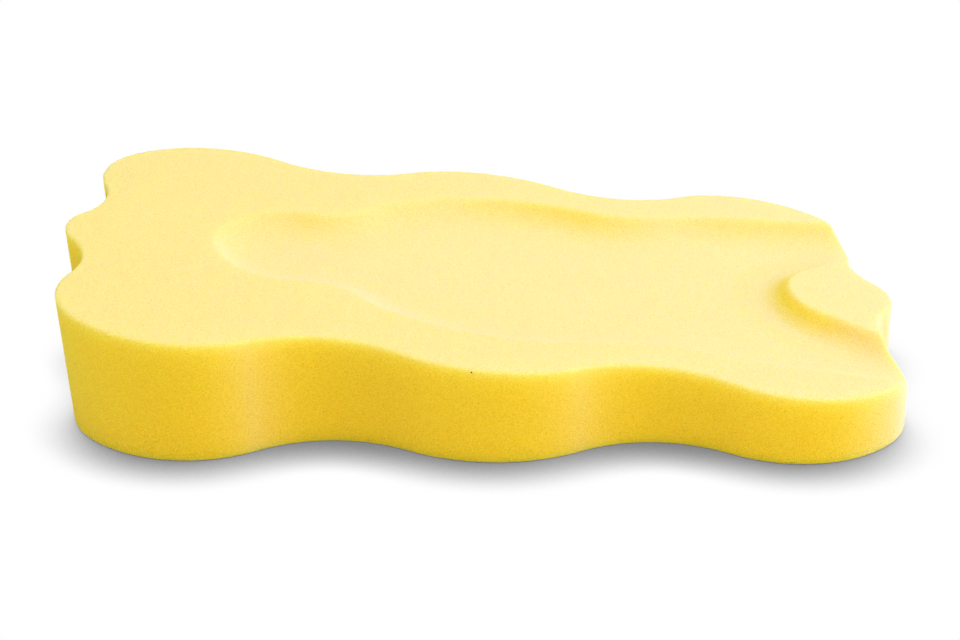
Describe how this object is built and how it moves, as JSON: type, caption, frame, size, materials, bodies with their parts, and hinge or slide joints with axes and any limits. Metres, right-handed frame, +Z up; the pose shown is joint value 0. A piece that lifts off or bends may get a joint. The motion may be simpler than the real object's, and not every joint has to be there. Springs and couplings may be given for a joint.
{
  "type": "infant bath support sponge",
  "caption": "Thick wedge of soft open-cell foam with a scalloped outline and a shallow body-shaped hollow that props up a small baby in a bath.",
  "frame": {"origin": "on the floor under the middle of the block, at the bottom centre of its bounding box", "axes": "+X along the block towards the thin foot end, +Y across it, +Z up"},
  "size_m": [0.55, 0.3, 0.088],
  "materials": {
    "foam": "soft yellow open-cell polyurethane foam, matte, with fine cut pores on every face"
  },
  "bodies": {
    "root": {"foam_body": "foam"}
  },
  "joints": []
}
